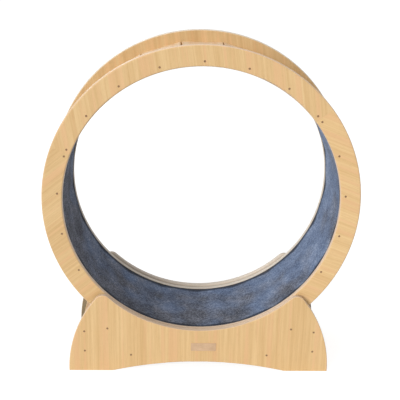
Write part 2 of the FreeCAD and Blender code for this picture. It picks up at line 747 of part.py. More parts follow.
def make_spacers(word, x):
    """A sleeve between each roller's bearings and a washer against each panel."""
    pieces = []
    washer_length = f"({PANEL_INSIDE} - {ROLLER_Y} - {HUB_HALF})"
    for end, side, _ in ENDS:
        name = f"{end.title()}{word.title()}"
        sleeve = make_tube(
            f"{name}Sleeve",
            AXLE_BORE,
            "Sizes.sleeve_radius",
            f"(2 * {POCKET_FLOOR})",
            x,
            f"{side} * {ROLLER_Y}",
            AXLE_HEIGHT,
        )
        washer = make_tube(
            f"{name}Washer",
            AXLE_BORE,
            "Sizes.sleeve_radius",
            washer_length,
            x,
            f"{side} * ({PANEL_INSIDE} - {washer_length} / 2)",
            AXLE_HEIGHT,
        )
        pieces += [sleeve, washer]
    return pieces


# ------------------------------------------------------------- assembly


def make_wheel():
    ring_screw = make_screw("RingScrew", "(Sizes.ring_thickness + Sizes.ring_screw_bite)")
    half_arc = planks_per_arc() / 2
    for end, side, facing in ENDS:
        for index, word in enumerate(("right", "left", "upper")):
            middle = station_angle(first_joint() + half_arc + index * planks_per_arc())
            name = f"{end.title()}{word.title()}Arc"
            make_ring_arc(name, f"{end}_ring_{word}_arc", middle, side, facing)
        make_screw_group(
            f"{end.title()}RingScrews", f"{end}_ring_screws", ring_screw, ring_screw_spots(side, facing)
        )
    for station in range(round(value("Sizes.plank_count"))):
        make_plank(station)
    make_carpet()


def make_base():
    panel_screw = make_screw("PanelScrew", "(Sizes.panel_thickness + Sizes.panel_screw_bite)")
    axle_screw = make_screw(
        "AxleScrew", "(Sizes.panel_thickness - Sizes.axle_socket + Sizes.axle_screw_bite)"
    )
    axle_screw_places = []
    for end, side, facing in ENDS:
        make_panel(f"{end.title()}Panel", f"base_{end}_panel", side, facing)
        face = f"{side} * {PANEL_OUTSIDE}"
        rail_screws = [(facing, (x, face, z)) for x, z in panel_rail_spots()]
        make_screw_group(f"{end.title()}PanelScrews", f"base_{end}_screws", panel_screw, rail_screws)
        axle_screw_places += [(facing, (x, face, z)) for x, z in axle_spots()]
    make_screw_group("AxleScrews", "axle_screws", axle_screw, axle_screw_places)
    make_rails()
    make_nameplate()


def make_rollers():
    spacers = []
    for word, sign in SIDES:
        x = make_axle(word, sign)
        make_inner_rings(word, x)
        spacers += make_spacers(word, x)
        for end, side, _ in ENDS:
            make_roller(end, side, word, x)
    make_group("AxleSpacers", "axle_spacers", spacers)


def check_and_export():
    """Stops at any failed feature, then writes one file per piece."""
    doc.recompute()
    for feature in doc.Objects:
        if {"Invalid", "Error"} & set(feature.State):
            raise RuntimeError(f"{feature.Label} failed: {feature.State}")
    for piece in nodes:
        if piece.Shape.isNull() or not piece.Shape.isValid():
            raise RuntimeError(f"{piece.Label} has no valid shape")
    os.makedirs("parts", exist_ok=True)
    for piece in nodes:
        piece.Shape.exportStep(f"parts/{piece.Label}.step")
        print(f"{piece.Label}: {len(piece.Shape.Solids)} solid(s), {piece.Shape.Volume:.0f} mm3")


fill_sheet()
make_wheel()
make_base()
make_rollers()
check_and_export()
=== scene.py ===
"""Looks of the carpeted cat wheel: wood, carpet pile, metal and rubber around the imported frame."""

import json
import math
from typing import NamedTuple

import bmesh
import bpy
import numpy as np
from mathutils import Matrix, Vector


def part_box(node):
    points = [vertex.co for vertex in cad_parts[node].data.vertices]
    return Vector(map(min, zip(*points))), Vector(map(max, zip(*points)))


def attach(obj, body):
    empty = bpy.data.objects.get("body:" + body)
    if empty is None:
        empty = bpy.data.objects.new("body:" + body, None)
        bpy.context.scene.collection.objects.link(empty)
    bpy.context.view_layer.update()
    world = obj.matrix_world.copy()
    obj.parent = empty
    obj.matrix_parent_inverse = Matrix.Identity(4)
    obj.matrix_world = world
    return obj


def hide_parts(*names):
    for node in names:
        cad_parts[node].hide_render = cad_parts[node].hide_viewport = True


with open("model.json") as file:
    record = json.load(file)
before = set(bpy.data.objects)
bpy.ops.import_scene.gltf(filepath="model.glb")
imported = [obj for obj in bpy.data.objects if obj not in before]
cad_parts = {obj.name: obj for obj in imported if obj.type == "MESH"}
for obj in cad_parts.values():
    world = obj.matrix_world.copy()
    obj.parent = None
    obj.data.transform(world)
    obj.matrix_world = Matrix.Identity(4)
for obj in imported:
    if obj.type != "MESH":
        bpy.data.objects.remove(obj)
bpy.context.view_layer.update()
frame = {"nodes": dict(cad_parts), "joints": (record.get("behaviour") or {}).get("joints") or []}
nodes = frame["nodes"]
joints = {joint["name"]: joint for joint in frame["joints"]}

AXLE = Vector(joints["wheel_spin"]["pos_m"])
PLANKS = sorted(name for name in nodes if name.startswith("track_plank"))
PITCH = 2 * math.pi / len(PLANKS)
ARCS = ("right", "left", "upper")  # clockwise from the arc joint at the upper right
RUNNER_LOW, RUNNER_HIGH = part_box("carpet_runner")
RUNNER_HALF = (RUNNER_HIGH.y - RUNNER_LOW.y) / 2


def radii(name):
    """How far a node's vertices lie from the wheel's centre line."""
    return [math.hypot(vertex.co.x, vertex.co.z - AXLE.z) for vertex in nodes[name].data.vertices]


RING_INNER = min(radii("front_ring_upper_arc"))
CRADLE_RADIUS = min(radii("base_front_panel"))

# ------------------------------------------------------------ colour and nodes


def tone(red, green, blue):
    """A screen colour of 0 to 255 as the linear colour that a socket takes."""
    parts = [channel / 255 for channel in (red, green, blue)]
    linear = [c / 12.92 if c <= 0.04045 else ((c + 0.055) / 1.055) ** 2.4 for c in parts]
    return (*linear, 1.0)


def shaded(colour, factor):
    return tuple(min(1.0, channel * factor) for channel in colour[:3]) + (1.0,)


class Finish:
    """One material, built node by node."""

    def __init__(self, name, metallic=0.0, specular=0.5):
        self.material = bpy.data.materials.new(name)
        self.material.use_nodes = True
        self.tree = self.material.node_tree
        self.surface = self.tree.nodes["Principled BSDF"]
        self.set("Metallic", metallic)
        self.set("Specular IOR Level", specular)

    def add(self, kind, inputs=None, **settings):
        node = self.tree.nodes.new(kind)
        for name, setting in settings.items():
            setattr(node, name, setting)
        for key, source in (inputs or {}).items():
            self.plug(node.inputs[key], source)
        return node

    def plug(self, socket, source):
        if isinstance(source, bpy.types.NodeSocket):
            self.tree.links.new(source, socket)
        else:
            socket.default_value = source

    def set(self, name, source):
        self.plug(self.surface.inputs[name], source)

    def place(self):
        return self.add("ShaderNodeTexCoord").outputs["Object"]

    def split(self, vector):
        return self.add("ShaderNodeSeparateXYZ", {0: vector}).outputs

    def mapped(self, vector, turn=(0, 0, 0), scale=(1, 1, 1), shift=(0, 0, 0)):
        inputs = {"Vector": vector, "Rotation": turn, "Scale": scale, "Location": shift}
        return self.add("ShaderNodeMapping", inputs).outputs["Vector"]

    def noise(self, vector, scale, detail=2.0, roughness=0.5, output="Fac"):
        inputs = {"Vector": vector, "Scale": scale, "Detail": detail, "Roughness": roughness}
        return self.add("ShaderNodeTexNoise", inputs).outputs[output]

    def drawn(self, vector, lines, shift=(0, 0, 0)):
        """Noise as lines along Z."""
        stretched = self.mapped(vector, scale=(1, 1, lines.along), shift=shift)
        return self.noise(stretched, lines.scale, lines.detail, lines.roughness)

    def math(self, operation, *values):
        return self.add("ShaderNodeMath", dict(enumerate(values)), operation=operation).outputs["Value"]

    def weigh(self, *sources):
        """Adds up (source, share) pairs."""
        total = 0.0
        for source, share in sources:
            total = self.math("MULTIPLY_ADD", source, share, total)
        return total

    def range(self, source, low, high, new_low=0.0, new_high=1.0, soft=False):
        inputs = {0: source, 1: low, 2: high, 3: new_low, 4: new_high}
        kind = "SMOOTHSTEP" if soft else "LINEAR"
        return self.add("ShaderNodeMapRange", inputs, interpolation_type=kind).outputs[0]

    def ramp(self, factor, stops):
        node = self.add("ShaderNodeValToRGB", {"Fac": factor})
        elements = node.color_ramp.elements
        while len(elements) < len(stops):
            elements.new(0.5)
        for element, (place, colour) in zip(elements, stops):
            element.position = place
            element.color = colour
        return node.outputs["Color"]

    def tint(self, factor, tones, low=0.3, high=0.7):
        """The darker of two tones up to low, the lighter from high on."""
        light, dark = tones
        return self.ramp(factor, ((low, dark), (high, light)))

    def mix(self, factor, first, second, kind="MIX"):
        node = self.add("ShaderNodeMix", data_type="RGBA", blend_type=kind)
        sockets = (node.inputs[0], node.inputs[6], node.inputs[7])
        for socket, source in zip(sockets, (factor, first, second)):
            self.plug(socket, source)
        return node.outputs[2]

    def bump(self, height, depth, strength):
        inputs = {"Height": height, "Distance": depth, "Strength": strength}
        return self.add("ShaderNodeBump", inputs).outputs["Normal"]

    def facing_back(self):
        """1 on a face that looks to the back, -1 on one that looks to the front, 0 on a cut edge."""
        return self.split(self.add("ShaderNodeNewGeometry").outputs["Normal"])["Y"]

    def from_axle(self):
        """Distance from the wheel's centre line."""
        flat = self.mapped(self.place(), scale=(1, 0, 1), shift=(0, 0, -AXLE.z))
        return self.add("ShaderNodeVectorMath", {0: flat}, operation="LENGTH").outputs["Value"]


# ------------------------------------------------------------------------ timber

# Pairs of tones are the lighter one, then the darker one.
FACE_TONES = (tone(236, 202, 149), tone(216, 176, 121))
# pale pinkish timber, painted paler still as light on the planks' outer faces, which lie in shade between
# the rings
PLANK_TONES_WITH_PAINTED_LIGHT = (tone(244, 220, 190), tone(228, 198, 162))
EDGE_TONES = (tone(240, 212, 182), tone(206, 170, 134))
REAR_EDGE_TONES = (tone(238, 226, 210), tone(206, 193, 175))
WOOD_BLUSH = tone(232, 186, 138)
WOOD_PORE = tone(132, 96, 58)
RING_GAP_SHADE_TONE = tone(52, 54, 62)  # painted shade of the gap where the runner's edge meets a ring
PANEL_INNER_PAINTED_SHADE = (0.36, 0.42, 0.52, 1.0)  # painted shade: what the panels' inner faces, which look at the wheel, keep of the colour

ARC_SHADES = {"right": 1.04, "left": 0.97, "upper": 0.98}
# painted shade: the rear ring is made darker where it lies in shade
REAR_RING_PAINTED_SHADE = 0.84
# painted shade: the rear panel is made darker
REAR_PANEL_PAINTED_SHADE = 0.94
# the rear ring's smaller blush is part of its painted shade
BLUSH, REAR_PAINTED_SHADE_BLUSH, PLANK_BLUSH = 0.6, 0.3, 0.4
ALONG_AXLE = (math.pi / 2, 0, 0)  # turns the axle's direction onto the grain's Z

GRAIN_SWAY = 0.005
PORE_DEPTH = 0.00012
VENEER_PAIR = 0.0026  # one light and one dark veneer
VENEER_WOBBLE = 0.00025
# how wide the painted shade beside the runner reaches on a ring's inner face
RING_GAP_SHADE_WIDTH = 0.0045
CRADLE_WRAP = 0.008  # how far the pale cut edge of a panel's cradle wraps over its inner face
RIM_FADE = 0.004


class Lines(NamedTuple):
    """Noise drawn out into lines along the grain."""

    scale: float
    along: float  # how much of the scale is kept along the grain
    detail: float = 1.0
    roughness: float = 0.5


SWAY_LINES = Lines(3.0, 0.35)
BROAD_LINES = Lines(30.0, 0.03)
RING_LINES = Lines(130.0, 0.018, 2.0, 0.6)
FINE_LINES = Lines(430.0, 0.022, 2.0, 0.65)
PORE_LINES = Lines(1300.0, 0.05)
BLUSH_LINES = Lines(62.0, 0.03)


class InnerFace(NamedTuple):
    """The side of a ring or panel that looks inwards, and its rim next to the wheel's inside, where shade is
    painted on.
    """

    side: int  # 1 looks to the back, -1 to the front
    rim_radius: float
    # on a ring the dark tone of painted shade, on a panel the pale tone of its cut edge
    rim_tone: tuple
    kept: tuple = (1, 1, 1, 1)  # what the rest of the face keeps of its colour; below 1 it is painted shade


def wood(name, tones, turn, seed, edge=None, blush=BLUSH, inner=None):
    """Clear-lacquered timber: its grain runs along Z once turn is applied."""
    finish = Finish(name, specular=0.35)
    base = finish.mapped(finish.place(), turn=turn, shift=(0.37 * seed, 0.91 * seed, 1.73 * seed))
    sway = finish.range(finish.drawn(base, SWAY_LINES), 0.0, 1.0, -GRAIN_SWAY, GRAIN_SWAY)
    offset = finish.add("ShaderNodeCombineXYZ", {"X": sway, "Y": sway}).outputs[0]
    grain = finish.add("ShaderNodeVectorMath", {0: base, 1: offset}, operation="ADD").outputs[0]
    broad, rings, fine = (finish.drawn(grain, lines) for lines in (BROAD_LINES, RING_LINES, FINE_LINES))
    pores = finish.range(finish.drawn(grain, PORE_LINES), 0.62, 0.74, soft=True)

    light, dark = tones
    middle = tuple((a + b) / 2 for a, b in zip(light, dark))
    mixed = finish.weigh((broad, 0.26), (rings, 0.42), (fine, 0.32))
    colour = finish.ramp(mixed, ((0.35, dark), (0.50, middle), (0.64, light)))
    streaks = finish.drawn(grain, BLUSH_LINES, shift=(0.4, 0.2, 0.1))
    colour = finish.mix(finish.range(streaks, 0.48, 0.7, 0.0, blush, soft=True), colour, WOOD_BLUSH)
    colour = finish.mix(finish.math("MULTIPLY", pores, 0.16), colour, WOOD_PORE)
    if inner is not None:
        colour = inner_face(finish, colour, inner)
    if edge is not None:
        colour = plywood_edge(finish, colour, edge, base)

    finish.set("Base Color", colour)
    finish.set("Roughness", finish.range(rings, 0.3, 0.7, 0.40, 0.54))
    finish.set("Coat Weight", 0.12)
    finish.set("Coat Roughness", 0.32)
    finish.set("Normal", finish.bump(finish.math("SUBTRACT", fine, pores), PORE_DEPTH, 0.55))
    return finish.material


def inner_face(finish, colour, inner):
    # paints shade on the inward face: a dark rim beside the runner on a ring, a darkened face on a panel
    inward = finish.range(finish.math("MULTIPLY", finish.facing_back(), inner.side), 0.6, 0.9)
    rim_end = inner.rim_radius + RIM_FADE
    rim = finish.range(finish.from_axle(), inner.rim_radius, rim_end, 1.0, 0.0)
    face = finish.mix(rim, finish.mix(1.0, colour, inner.kept, "MULTIPLY"), inner.rim_tone)
    return finish.mix(inward, colour, face)


def plywood_edge(finish, colour, edge, base):
    """Paler cut edges with the thin lines of the veneers, which lie across Y."""
    wobble = finish.range(finish.noise(base, 60.0), 0.0, 1.0, -VENEER_WOBBLE, VENEER_WOBBLE)
    depth = finish.math("ADD", finish.split(base)["Y"], wobble)
    wave = finish.math("SINE", finish.math("MULTIPLY", depth, 2 * math.pi / VENEER_PAIR))
    fleck = finish.noise(finish.mapped(base, scale=(1, 8, 1)), 240.0, 2.0, 0.6)
    streak = finish.weigh((finish.range(wave, -1.0, 1.0, 0.0, 0.75), 1.0), (fleck, 0.5))
    squarely = finish.math("ABSOLUTE", finish.facing_back())
    turned_away = finish.range(squarely, 0.62, 0.93, 1.0, 0.0, soft=True)
    return finish.mix(turned_away, colour, finish.tint(streak, edge, 0.25, 0.8))


def assign(material, *names):
    for name in names:
        mesh = nodes[name].data
        if not mesh.materials:
            mesh.materials.append(material)
        for index in range(len(mesh.materials)):
            mesh.materials[index] = material


def arc_turn(word):
    """Turns a ring arc's own mid-radius onto the grain's Z."""
    arc_planks = len(PLANKS) / len(ARCS)
    first_joint = arc_planks // 2
    middle = (first_joint + arc_planks / 2 + ARCS.index(word) * arc_planks) * PITCH
    return (0, -middle, 0)


def finish_rings():
    """Every arc is cut from its own sheet, its grain along the arc's middle radius."""
    ends = (
        ("front", 1, 0, 1.0, EDGE_TONES, BLUSH),
        # the rear ring is painted darker and less pink, as shade
        ("rear", -1, 4, REAR_RING_PAINTED_SHADE, REAR_EDGE_TONES, REAR_PAINTED_SHADE_BLUSH),
    )
    for end, side, first_seed, shade, edge, blush in ends:
        # a strip of painted shade on each ring's inner face, next to the runner
        inner = InnerFace(side, RING_INNER + RING_GAP_SHADE_WIDTH, RING_GAP_SHADE_TONE)
        for seed, word in enumerate(ARCS, first_seed):
            tones = [shaded(colour, ARC_SHADES[word] * shade) for colour in FACE_TONES]
            name = f"{end}_ring_{word}"
            assign(wood(f"{name}_wood", tones, arc_turn(word), seed, edge, blush, inner), f"{name}_arc")


def finish_base():
    # the rear panel is painted darker as shade
    ends = (("front", 1, 11, 1.0, EDGE_TONES), ("rear", -1, 12, REAR_PANEL_PAINTED_SHADE, REAR_EDGE_TONES))
    for end, side, seed, shade, edge in ends:
        tones = [shaded(colour, shade) for colour in FACE_TONES]
        # the panels' inner faces are painted darker as shade, all but the pale rim at the cradle
        inner = InnerFace(side, CRADLE_RADIUS + CRADLE_WRAP, edge[0], PANEL_INNER_PAINTED_SHADE)
        assign(wood(f"{end}_panel_wood", tones, (0, 0, 0), seed, edge, inner=inner), f"base_{end}_panel")
    rails = ("left_end_board", "right_end_board", "left_stretcher", "right_stretcher")
    assign(wood("rail_wood", FACE_TONES, ALONG_AXLE, 31), *rails)


def finish_planks():
    """Three timbers take turns round the track."""
    light, dark = PLANK_TONES_WITH_PAINTED_LIGHT
    for turn, shade in enumerate((0.97, 1.0, 1.03)):
        name = f"plank_wood_{turn + 1}"
        plank_wood = wood(name, (shaded(light, shade), dark), ALONG_AXLE, 20 + turn, blush=PLANK_BLUSH)
        assign(plank_wood, *PLANKS[turn::3])


# -------------------------------------------------------------- metal and rubber

SCREW_TONES = (tone(168, 132, 98), tone(120, 90, 64))
PLATE_TONES = (tone(218, 186, 152), tone(188, 156, 124))
AXLE_TONES = (tone(196, 198, 202), tone(150, 152, 158))
SPACER_TONES = (tone(206, 208, 212), tone(164, 168, 176))
BEARING_TONES = (tone(186, 188, 192), tone(128, 130, 136))
NYLON_TONES = (tone(233, 230, 219), tone(216, 212, 198))
TREAD_TONES = (tone(78, 76, 74), tone(40, 41, 44))


def screw_metal():
    """Yellow-brown zinc, a little blotched."""
    finish = Finish("screw_zinc", metallic=0.7)
    place = finish.place()
    blotch = finish.noise(place, 900.0)
    finish.set("Base Color", finish.tint(blotch, SCREW_TONES))
    finish.set("Roughness", finish.range(blotch, 0.3, 0.7, 0.34, 0.52))
    finish.set("Normal", finish.bump(finish.noise(place, 2600.0, 1.0), 0.00005, 0.5))
    return finish.material


def plate_metal():
    """Satin champagne aluminium, brushed along its length."""
    finish = Finish("nameplate_metal", metallic=0.7)
    place = finish.place()
    brushed = finish.noise(finish.mapped(place, scale=(0.03, 1, 1)), 2400.0, 2.0, 0.6)
    cloud = finish.noise(place, 40.0)
    finish.set("Base Color", finish.tint(finish.weigh((brushed, 0.65), (cloud, 0.35)), PLATE_TONES))
    finish.set("Roughness", finish.range(brushed, 0.3, 0.7, 0.28, 0.42))
    finish.set("Normal", finish.bump(brushed, 0.00004, 0.6))
    return finish.material


def turned_steel(name, tones, roughness):
    """Bright steel with the fine rings that turning leaves, around Y."""
    finish = Finish(name, metallic=1.0)
    place = finish.place()
    lines = finish.noise(finish.mapped(place, scale=(0.05, 1, 0.05)), 3200.0, 2.0, 0.6)
    cloud = finish.noise(place, 70.0)
    finish.set("Base Color", finish.tint(finish.weigh((lines, 0.5), (cloud, 0.5)), tones))
    finish.set("Roughness", finish.range(cloud, 0.3, 0.7, roughness - 0.05, roughness + 0.1))
    finish.set("Normal", finish.bump(lines, 0.00003, 0.5))
    return finish.material


def nylon():
    """Natural moulded nylon, a little mottled."""
    finish = Finish("hub_nylon", specular=0.45)
    place = finish.place()
    grit = finish.noise(place, 1500.0, 1.0)
    finish.set("Base Color", finish.tint(finish.noise(place, 55.0, 3.0), NYLON_TONES))
    finish.set("Roughness", finish.range(grit, 0.3, 0.7, 0.36, 0.5))
    finish.set("Normal", finish.bump(grit, 0.00004, 0.4))
    return finish.material


def polyurethane():
    """Dark rubbery tread, dusty where it runs on the rim."""
    finish = Finish("roller_tread", specular=0.4)
    place = finish.place()
    scuff = finish.noise(finish.mapped(place, scale=(1, 0.2, 1)), 300.0, 3.0, 0.6)
    dust = finish.noise(place, 90.0, 3.0, 0.6)
    finish.set("Base Color", finish.tint(finish.weigh((scuff, 0.5), (dust, 0.5)), TREAD_TONES, 0.35))
    finish.set("Roughness", finish.range(dust, 0.3, 0.7, 0.6, 0.8))
    finish.set("Normal", finish.bump(scuff, 0.0001, 0.5))
    return finish.material


def finish_hardware():
    assign(screw_metal(), *(name for name in nodes if name.endswith("screws")))
    assign(plate_metal(), "nameplate")
    assign(turned_steel("axle_steel", AXLE_TONES, 0.3), "left_axle", "right_axle")
    spacer_zinc = turned_steel("spacer_zinc", SPACER_TONES, 0.36)
    assign(spacer_zinc, "left_axle_tube", "right_axle_tube", "axle_spacers")
    bearing_rings = (name for name in nodes if name.endswith(("inner_rings", "outer_rings")))
    assign(turned_steel("bearing_steel", BEARING_TONES, 0.26), *bearing_rings)
    assign(nylon(), *(name for name in nodes if name.endswith("roller_hub")))
    assign(polyurethane(), *(name for name in nodes if name.endswith("roller_tyre")))


# ------------------------------------------------------------------------ carpet

# the blue tones are lighter than the grey ones, so mixing towards them paints light as well as the felt's
# own bluer patches
CARPET_BLUE = (
    (0.26, tone(83, 98, 127)),
    (0.42, tone(104, 122, 153)),
    (0.54, tone(122, 140, 171)),
    (0.68, tone(146, 161, 189)),
    (0.82, tone(177, 188, 210)),
)
CARPET_GREY = (
    (0.26, tone(65, 68, 77)),
    (0.42, tone(88, 91, 101)),
    (0.54, tone(107, 110, 121)),
    (0.68, tone(131, 134, 146)),
    (0.82, tone(164, 166, 177)),
)
# painted shade: dark colour at the runner's edges, where it meets the rings
RUNNER_EDGE_SHADE_TONE = tone(36, 41, 52)
RUNNER_EDGE_SHADE_WIDTHS = ((-1, 0.015), (1, 0.022))  # painted shade along the runner's edge where it meets a ring, at its front and at its back
PAINTED_LIGHT_TO_RIGHT, PAINTED_LIGHT_TO_BACK = 0.34, 0.75  # painted light: the runner grows bluer and lighter per metre to the right and to the back
TUFTS_PER_METRE = 270.0
FIBRES_PER_METRE = 1400.0
FIBRE_BEND = 0.0024
TUFT_DEPTH = 0.0008

SEAM_ANGLE = -PITCH / 2  # the runner's two ends meet over a plank joint near the top
SEAM_HALF = 0.0004
STEPS_PER_PLANK = 44
PILE_COLUMNS = 86
EDGE_RADIUS = 0.0022  # the pile rolls down to the backing along every edge
EDGE_STEPS = 5
CORNER_ROUNDING = 0.0055  # how softly the pile goes over the corner at a plank joint
PILE_GRAIN, PILE_GRAIN_CELL = 0.00030, 0.0042
PILE_WAVES, PILE_WAVES_CELL = 0.00035, 0.038
RUNNER_SEED = 7.0


def carpet_felt():
    """Heathered blue-grey felt: tufts of several tones and bluer patches, painted lighter and bluer to the
    right and to the back as light, with painted shade along its edges.
    """
    finish = Finish("carpet_felt", specular=0.15)
    place = finish.place()
    bent = finish.mix(FIBRE_BEND, place, finish.noise(place, 380.0, output="Color"), "ADD")
    tufts = finish.add("ShaderNodeTexVoronoi", {"Vector": bent, "Scale": TUFTS_PER_METRE})
    tuft_tone = finish.add("ShaderNodeSeparateColor", {0: tufts.outputs["Color"]}).outputs[0]
    patch = finish.range(finish.noise(place, 15.0), 0.34, 0.66)
    clump = finish.noise(place, 85.0, 2.0, 0.6)
    fibre = finish.noise(bent, FIBRES_PER_METRE, 3.0, 0.7)
    value = finish.weigh((tuft_tone, 0.34), (patch, 0.18), (clump, 0.24), (fibre, 0.24))
    blue, grey = (finish.ramp(value, stops) for stops in (CARPET_BLUE, CARPET_GREY))

    where = finish.split(place)
    # painted light: lighter, bluer felt to the right and to the back; the noise gives the felt's own bluer
    # patches
    painted_light_drift = ((where["X"], PAINTED_LIGHT_TO_RIGHT), (where["Y"], PAINTED_LIGHT_TO_BACK))
    dye_and_painted_light = finish.weigh((finish.noise(place, 9.0), 1.0), *painted_light_drift)
    colour = finish.mix(finish.range(dye_and_painted_light, 0.32, 0.66), grey, blue)
    # paints shade along both edges of the runner
    for side, width in RUNNER_EDGE_SHADE_WIDTHS:
        towards_edge = finish.math("MULTIPLY", where["Y"], side)
        start, full = RUNNER_HALF - width, RUNNER_HALF - width / 2
        edge_shade = finish.range(towards_edge, start, full, 0.0, 0.84, soft=True)
        colour = finish.mix(edge_shade, colour, RUNNER_EDGE_SHADE_TONE)

    finish.set("Base Color", colour)
    finish.set("Roughness", 0.92)
    finish.set("Sheen Weight", 0.08)
    finish.set("Sheen Roughness", 0.5)
    height = finish.math("SUBTRACT", fibre, finish.math("MULTIPLY", tufts.outputs["Distance"], 0.8))
    finish.set("Normal", finish.bump(height, TUFT_DEPTH, 0.8))
    return finish.material


def runner_apothems():
    """Distances of the runner's outer and inner flats from the axle, read from its CAD solid."""
    corners = radii("carpet_runner")
    flat = math.cos(PITCH / 2)
    return max(corners) * flat, min(corners) * flat


def runner_section(thickness):
    """The runner's cut end: places across it and heights of its pile, all the way round."""
    rolled = []
    for bend in np.linspace(math.pi / 2, 0, EDGE_STEPS):
        drop = EDGE_RADIUS * (1 - math.cos(bend))
        rolled.append((RUNNER_HALF - EDGE_RADIUS * (1 - math.sin(bend)), thickness - drop))
    left = [(-RUNNER_HALF, 0.0), *((-place, height) for place, height in rolled)]
    right = [*rolled[::-1], (RUNNER_HALF, 0.0)]
    flat_end = RUNNER_HALF - EDGE_RADIUS
    middle = [(place, thickness) for place in np.linspace(-flat_end, flat_end, PILE_COLUMNS)[1:-1]]
    return left + middle + right


class Recipe:
    """One Geometry Nodes tree, built node by node."""

    def __init__(self, name, inputs):
        self.tree = bpy.data.node_groups.new(name, "GeometryNodeTree")
        self.sockets = {}
        for label, kind in {"Geometry": "Geometry", **inputs}.items():
            self.sockets[label] = self.tree.interface.new_socket(
                label, in_out="INPUT", socket_type=f"NodeSocket{kind}"
            )
        self.tree.interface.new_socket("Geometry", in_out="OUTPUT", socket_type="NodeSocketGeometry")
        self.given = self.tree.nodes.new("NodeGroupInput").outputs
        self.result = self.tree.nodes.new("NodeGroupOutput").inputs[0]

    def add(self, kind, inputs=None, **settings):
        node = self.tree.nodes.new(kind)
        for name, setting in settings.items():
            setattr(node, name, setting)
        for key, source in (inputs or {}).items():
            if isinstance(source, bpy.types.NodeSocket):
                self.tree.links.new(source, node.inputs[key])
            else:
                node.inputs[key].default_value = source
        return node

    def math(self, operation, *values):
        return self.add("ShaderNodeMath", dict(enumerate(values)), operation=operation).outputs[0]

    def capture(self, geometry, label, kind, source):
        node = self.add("GeometryNodeCaptureAttribute", {"Geometry": geometry}, domain="POINT")
        node.capture_items.new(kind, label)
        self.tree.links.new(source, node.inputs[label])
        return node.outputs["Geometry"], node.outputs[label]

    def noise(self, vector, cell, detail, seed):
        """Noise of -1 to 1 whose features are about a cell wide."""
        inputs = {"Vector": vector, "W": seed, "Scale": 1 / cell, "Detail": detail}
        grain = self.add("ShaderNodeTexNoise", inputs, noise_dimensions="4D").outputs[0]
        return self.math("MULTIPLY_ADD", grain, 2.0, -1.0)

    def apply(self, piece, values):
        """Runs the tree on a piece and leaves it a plain mesh."""
        modifier = piece.modifiers.new(self.tree.name, "NODES")
        modifier.node_group = self.tree
        for label, value in values.items():
            modifier[self.sockets[label].identifier] = value
        seen = piece.evaluated_get(bpy.context.evaluated_depsgraph_get())
        finished = bpy.data.meshes.new_from_object(seen)
        piece.modifiers.remove(modifier)
        piece.data = finished


RUNNER_INPUTS = {
    "Flats": "Int",
    "Steps": "Int",
    "Outer Apothem": "Float",
    "Thickness": "Float",
    "Corner Rounding": "Float",
    "Edge Radius": "Float",
    "Seam Angle": "Float",
    "Half Seam": "Float",
    "Pile Grain": "Float",
    "Pile Waves": "Float",
    "Seed": "Float",
    "Axle": "Vector",
    "Felt": "Material",
}


def sweep_section(recipe):
    """Draws the section along a straight path: its band, its place in the section, and its share along."""
    given, add = recipe.given, recipe.add
    section = add("GeometryNodeMeshToCurve", {"Mesh": given["Geometry"]}).outputs[0]
    place = add("GeometryNodeInputPosition").outputs[0]
    section, spot = recipe.capture(section, "spot", "VECTOR", place)
    path = add("GeometryNodeCurvePrimitiveLine").outputs[0]
    points = recipe.math("ADD", given["Steps"], 1.0)
    path = add("GeometryNodeResampleCurve", {"Curve": path, "Count": points}).outputs[0]
    share = add("GeometryNodeSplineParameter").outputs["Factor"]
    path, along = recipe.capture(path, "along", "FLOAT", share)
    ends = {"Curve": path, "Profile Curve": section, "Fill Caps": True}
    return add("GeometryNodeCurveToMesh", ends).outputs[0], spot, along


def track_radii(recipe, angle):
    """Radii of the runner's backing and pile at an angle: flat on a plank, the pile rounded over a joint."""
    given, calc = recipe.given, recipe.math
    pitch = calc("DIVIDE", 2 * math.pi, given["Flats"])
    half_pitch = calc("DIVIDE", pitch, 2.0)
    folded = calc("FLOORED_MODULO", calc("ADD", angle, half_pitch), pitch)
    from_middle = calc("ABSOLUTE", calc("SUBTRACT", folded, half_pitch))
    to_next = calc("SUBTRACT", pitch, from_middle)
    backing = calc("DIVIDE", given["Outer Apothem"], calc("COSINE", from_middle))
    top = calc("SUBTRACT", given["Outer Apothem"], given["Thickness"])
    this_flat, next_flat = (calc("DIVIDE", top, calc("COSINE", lean)) for lean in (from_middle, to_next))
    pile = calc("SMOOTH_MIN", this_flat, next_flat, given["Corner Rounding"])
    return backing, calc("ADD", pile, given["Thickness"])


def pile_relief(recipe, angle, across, along):
    """How far the pile stands up or, at the runner's two ends, rolls down."""
    given, calc = recipe.given, recipe.math
    unrolled = calc("MULTIPLY", angle, given["Outer Apothem"])
    cloth = recipe.add("ShaderNodeCombineXYZ", {0: unrolled, 1: across}).outputs[0]
    grain = recipe.noise(cloth, PILE_GRAIN_CELL, 1.0, given["Seed"])
    waves = recipe.noise(cloth, PILE_WAVES_CELL, 2.0, given["Seed"])
    grain = calc("MULTIPLY", grain, given["Pile Grain"])
    waves = calc("MULTIPLY", waves, given["Pile Waves"])
    relief = calc("SUBTRACT", calc("ADD", grain, waves), given["Pile Grain"])
    to_end = calc("MINIMUM", along, calc("SUBTRACT", 1.0, along))
    to_end = calc("MULTIPLY", calc("MULTIPLY", to_end, 2 * math.pi), given["Outer Apothem"])
    near_end = calc("SUBTRACT", 1.0, calc("DIVIDE", to_end, given["Edge Radius"]))
    near_end = calc("MAXIMUM", near_end, 0.0)
    rolled = calc("MULTIPLY", calc("MULTIPLY", near_end, near_end), given["Edge Radius"])
    return calc("SUBTRACT", relief, rolled)


